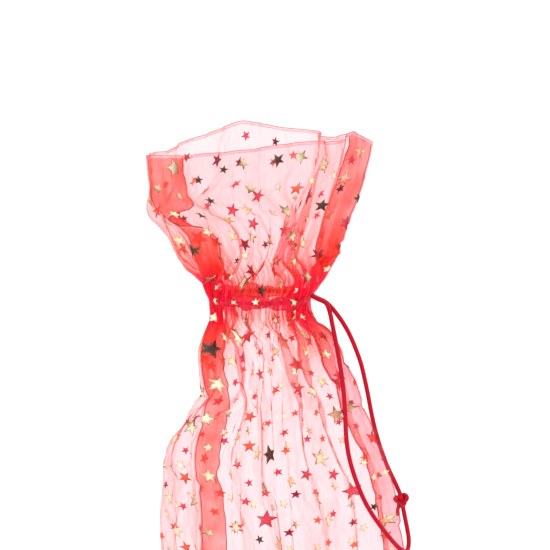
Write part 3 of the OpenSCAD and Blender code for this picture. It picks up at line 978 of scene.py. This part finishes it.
def star_outline(size, turn):
    """Flat star: a centre, and two rings of points that reach to its tips and notches."""
    tips = size / 2 / math.cos(math.radians(18))
    notches = tips * 0.42
    ring = []
    for k in range(10):
        angle = turn + math.pi * k / 5
        r = tips if k % 2 == 0 else notches
        ring.append((r * math.cos(angle), r * math.sin(angle)))
    ring = np.array(ring)
    dense = np.array([p for k in range(10) for p in (ring[k], (ring[k] + ring[(k + 1) % 10]) / 2)])
    return np.vstack([[0, 0], dense * 0.5, dense])


def star_faces(start, flip):
    n = 20
    faces = [(start, start + 1 + k, start + 1 + (k + 1) % n) for k in range(n)]
    faces += [(start + 1 + k, start + 1 + n + k, start + 1 + n + (k + 1) % n, start + 1 + (k + 1) % n)
              for k in range(n)]
    return [tuple(reversed(f)) for f in faces] if flip else faces


def casing_stars(count=10):
    """Places for the few small stars of the casing's own cloth, as (angle, across, turn)."""
    r = np.random.default_rng(5)
    return [((k + 0.15 + 0.7 * r.random()) * 2 * math.pi / count, 0.22 * (2 * r.random() - 1),
             r.random() * 2 * math.pi) for k in range(count)]


class Foil:
    """The stars of one size on one side, gathered into one mesh with a look for each point."""

    def __init__(self):
        self.points, self.faces, self.under = [], [], []
        self.looks = {"tone_and_painted_reflection": [], "painted_reflection_sweep": [], "edge": []}

    def stamp(self, flat, size, turn, tone_and_painted_reflection, place):
        """Adds a star; place(lift) gives its points at a height above the cloth."""
        # A painted reflection runs across each star, from its dark side to its bright side, along a way that
        # differs from star to star.
        lean = (turn * 7.3) % (2 * math.pi)
        painted_reflection_sweep = 0.5 + 1.6 * (flat[:, 0] * math.cos(lean) + flat[:, 1] * math.sin(lean)) / size
        self.looks["tone_and_painted_reflection"] += [tone_and_painted_reflection] * 2 * len(flat)
        self.looks["painted_reflection_sweep"] += [*painted_reflection_sweep, *painted_reflection_sweep]
        # edge is 0 at the star's centre and 1 at its rim, where the material paints shade.
        self.looks["edge"] += ([0.0] + [0.3] * 20 + [1.0] * 20) * 2
        start, count, rim = len(self.points), len(flat), 21
        self.points += [*place(FOIL_LIFT), *place(FOIL_UNDER)]
        self.faces += star_faces(start, False)
        self.under += [False] * 40
        self.faces += star_faces(start + count, True)
        self.under += [True] * 40
        for n in range(20):
            here, later = start + rim + n, start + rim + (n + 1) % 20
            self.faces.append((here, here + count, later + count, later))
            self.under.append(False)

    def finish(self, name):
        piece = paint(new_object(name, self.points, self.faces), GOLD, ROSE)
        piece.data.polygons.foreach_set("material_index", [int(x) for x in self.under])
        for look, values in self.looks.items():
            piece.data.attributes.new(look, "FLOAT", "POINT").data.foreach_set("value", values)
        return piece


def add_stars():
    placed = scatter()
    total = len(placed)
    for (side, a, b), (_, low, high) in zip((("back", 0, HALF), ("front", HALF, GIRTH)), casing_angles()):
        for kind, size in STAR_SIZES.items():
            foil_mesh = Foil()
            for u, v, k, turn in placed:
                if k != kind or not a <= u < b:
                    continue
                flat = star_outline(size, turn)
                # Picks the star's foil tone and painted reflection from the stops; below the casing it stays
                # under 0.84.
                tone_and_painted_reflection = (turn * 3.7) % 1.0 * (1.0 if v > CASING_V else 0.84)
                foil_mesh.stamp(flat, size, turn, tone_and_painted_reflection,
                                lambda lift: cloth.at(u + flat[:, 0], v + flat[:, 1], lift))
            for angle, across, turn in casing_stars():
                if kind != "small" or not low + 0.12 < angle < high - 0.12:
                    continue
                flat = star_outline(size, turn)
                around = angle + flat[:, 0] / CASING_R
                up = across + flat[:, 1] / CASING_HALF
                foil_mesh.stamp(flat, size, turn, (turn * 3.7) % 0.5,
                                lambda lift: casing_points(around, up, lift + 0.0001))
                total += 1
            piece = foil_mesh.finish(f"{side}_foil_{kind}")
            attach(piece, "bag")
            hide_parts(f"{side}_stars_{kind}")
    print("stars", total)


# ---- Cord pieces ----

def add_cords():
    angles = np.linspace(math.radians(5), 2 * math.pi - math.radians(5), 140)
    circle = [(RING_R * math.cos(a), -RING_R * math.sin(a), NECK_Z) for a in angles]
    ring = tube_mesh("cord_in_casing", circle, CORD_R)
    paint(ring, SATIN)
    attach(ring, "bag")
    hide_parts("drawstring_ring")
    route = CORD_PATH
    cord = paint(tube_mesh("cord_loop", route, CORD_R, sides=16), SATIN)
    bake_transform(cord)
    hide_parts("drawstring_exit", "drawstring_loop")
    knot = add_knot()


def add_knot():
    """An overhand knot drawn tight round the strand, with a short cut tail."""
    a, b = (np.array(LOOP_ROUTE[i]) * MM for i in KNOT_BETWEEN)
    centre, way = (a + b) / 2, unit(b - a)
    side = unit(np.cross(way, [0, 1, 0]))
    third = np.cross(way, side)
    t = np.linspace(0.25, 2 * math.pi - 0.25, 90)
    x, y, z = np.sin(t) + 2 * np.sin(2 * t), np.cos(t) - 2 * np.cos(2 * t), -1.5 * np.sin(3 * t)
    turns = x[:, None] * side * 0.95 + y[:, None] * way * 0.85 + z[:, None] * third * 0.9
    loops = centre + KNOT_SIZE * turns
    parts = [tube_mesh("knot_turns", smooth_route(loops[::4], 0.0004), CORD_R * 0.98, 14)]
    tail = [centre, centre - way * 0.002 + side * 0.0015, centre - way * 0.0045 + side * 0.0028,
            centre - way * 0.0072 + side * 0.0033]
    parts.append(tube_mesh("knot_tail", smooth_route(tail, 0.0004), CORD_R * 0.85, 14))
    knot = paint(join("cord_knot", parts), SATIN)
    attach(knot, "drawstring_loop")
    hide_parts("drawstring_knot")
    return knot


# ---- Stage ----

def add_stage():
    scene = bpy.context.scene
    scene.view_settings.view_transform = "Standard"
    scene.view_settings.look = "None"
    scene.cycles.transparent_max_bounces = 40
    world = bpy.data.worlds.new("studio")
    scene.world = world
    world.use_nodes = True
    world.node_tree.nodes["Background"].inputs[0].default_value = (1, 1, 1, 1)
    world.node_tree.nodes["Background"].inputs[1].default_value = 1.12
    corners = [(-30, -30, 0), (30, -30, 0), (30, 30, 0), (-30, 30, 0)]
    floor = new_object("floor", corners, [(0, 1, 2, 3)], smooth=False)
    material, add, _, links = node_kit("floor")
    grain = noise(add, add("ShaderNodeTexCoord").outputs["Object"], 40.0)
    shade = blend_colour(add, links, grain, (0.93, 0.93, 0.93), (0.95, 0.95, 0.95))
    shader = add("ShaderNodeBsdfPrincipled", Roughness=0.9)
    links.new(shade, shader.inputs["Base Color"])
    add("ShaderNodeOutputMaterial", Surface=shader.outputs[0])
    paint(floor, material)
    lamps = (("key", (-0.9, -1.1, 1.3), 0.7, 4.5), ("fill", (1.2, -0.9, 0.7), 0.9, 1.5),
             ("back", (0.3, 1.3, 1.0), 0.9, 2.5))
    for name, place, size, power in lamps:
        light = bpy.data.lights.new(name, "AREA")
        light.size = size
        light.energy = power
        lamp = bpy.data.objects.new(name, light)
        scene.collection.objects.link(lamp)
        lamp.location = place
        lamp.rotation_euler = (Vector((0, 0, 0.18)) - Vector(place)).to_track_quat("-Z", "Y").to_euler()


add_cords()
add_panels()
add_seams()
add_bottom_seam()
add_hems()
add_casing()
add_stars()
add_stage()
